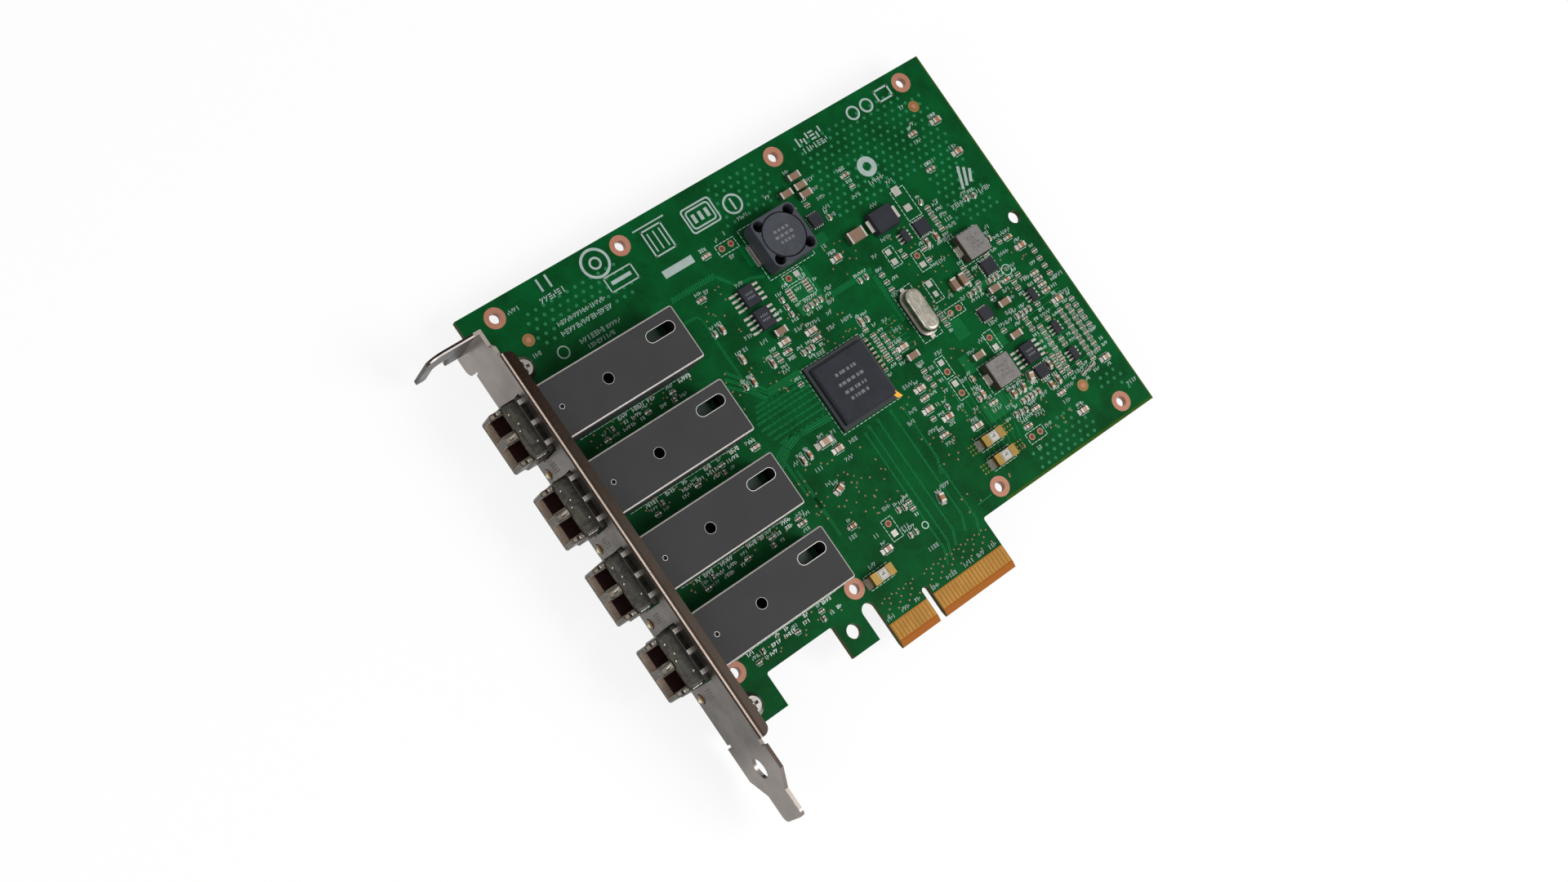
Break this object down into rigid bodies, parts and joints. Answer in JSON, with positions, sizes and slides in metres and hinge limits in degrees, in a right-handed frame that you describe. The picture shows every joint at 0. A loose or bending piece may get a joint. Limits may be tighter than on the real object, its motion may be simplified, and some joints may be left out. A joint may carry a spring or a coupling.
{
  "type": "network interface card",
  "caption": "Full-height PCI Express network card with a steel slot bracket, shielded fibre transceivers with duplex LC ports, a controller chip and its power parts.",
  "frame": {"origin": "centre of the key notch at the bottom edge of the edge contacts, at half the board's thickness", "axes": "+X along the board away from the bracket, +Y up the card away from the contacts, +Z out of the component side"},
  "size_m": [0.1473, 0.1262, 0.0226],
  "materials": {
    "board_laminate": "satin",
    "contact_gold": "satin",
    "ring_copper": "satin",
    "bracket_steel": "satin",
    "fastener_steel": "satin",
    "shield_steel": "satin",
    "receptacle_plastic": "satin",
    "gasket_steel": "satin",
    "optical_steel": "satin",
    "module_laminate": "satin",
    "pin_tin": "satin",
    "indicator_resin": "gloss",
    "package_laminate": "matte",
    "mould_compound": "matte",
    "ferrite": "satin",
    "winding_copper": "satin",
    "pressed_powder": "matte",
    "can_metal": "satin",
    "header_plastic": "matte",
    "fuse_ceramic": "satin",
    "cap_gold": "satin",
    "capacitor_ceramic": "satin",
    "plated_tin": "satin"
  },
  "bodies": {
    "root": {"circuit_board": "board_laminate", "hole_plating": "ring_copper", "edge_contacts": "contact_gold", "bracket": "bracket_steel", "clinch_nuts": "fastener_steel", "bracket_screws": "fastener_steel", "transceiver_shield_1": "shield_steel", "lc_receptacle_1": "receptacle_plastic", "gasket_1": "gasket_steel", "laser_unit_1": "optical_steel", "receiver_unit_1": "optical_steel", "transceiver_board_1": "module_laminate", "transceiver_pins_1": "pin_tin", "port_indicator_1": "indicator_resin", "transceiver_shield_2": "shield_steel", "lc_receptacle_2": "receptacle_plastic", "gasket_2": "gasket_steel", "laser_unit_2": "optical_steel", "receiver_unit_2": "optical_steel", "transceiver_board_2": "module_laminate", "transceiver_pins_2": "pin_tin", "port_indicator_2": "indicator_resin", "transceiver_shield_3": "shield_steel", "lc_receptacle_3": "receptacle_plastic", "gasket_3": "gasket_steel", "laser_unit_3": "optical_steel", "receiver_unit_3": "optical_steel", "transceiver_board_3": "module_laminate", "transceiver_pins_3": "pin_tin", "port_indicator_3": "indicator_resin", "transceiver_shield_4": "shield_steel", "lc_receptacle_4": "receptacle_plastic", "gasket_4": "gasket_steel", "laser_unit_4": "optical_steel", "receiver_unit_4": "optical_steel", "transceiver_board_4": "module_laminate", "transceiver_pins_4": "pin_tin", "port_indicator_4": "indicator_resin", "controller_package": "package_laminate", "controller_cap": "mould_compound", "inductor_shield": "ferrite", "inductor_core": "ferrite", "inductor_winding": "winding_copper", "inductor_base": "header_plastic", "inductor_terminals": "plated_tin", "filter_inductor_1": "pressed_powder", "filter_inductor_2": "pressed_powder", "crystal_can": "can_metal", "crystal_base": "header_plastic", "power_diode": "mould_compound", "power_part_leads": "plated_tin", "flash_memory_1": "mould_compound", "flash_memory_2": "mould_compound", "power_switch": "mould_compound", "chip_leads": "plated_tin", "fuses": "fuse_ceramic", "fuse_caps": "cap_gold", "block_capacitors": "capacitor_ceramic", "capacitor_ends": "plated_tin", "small_chips": "mould_compound"}
  },
  "joints": []
}
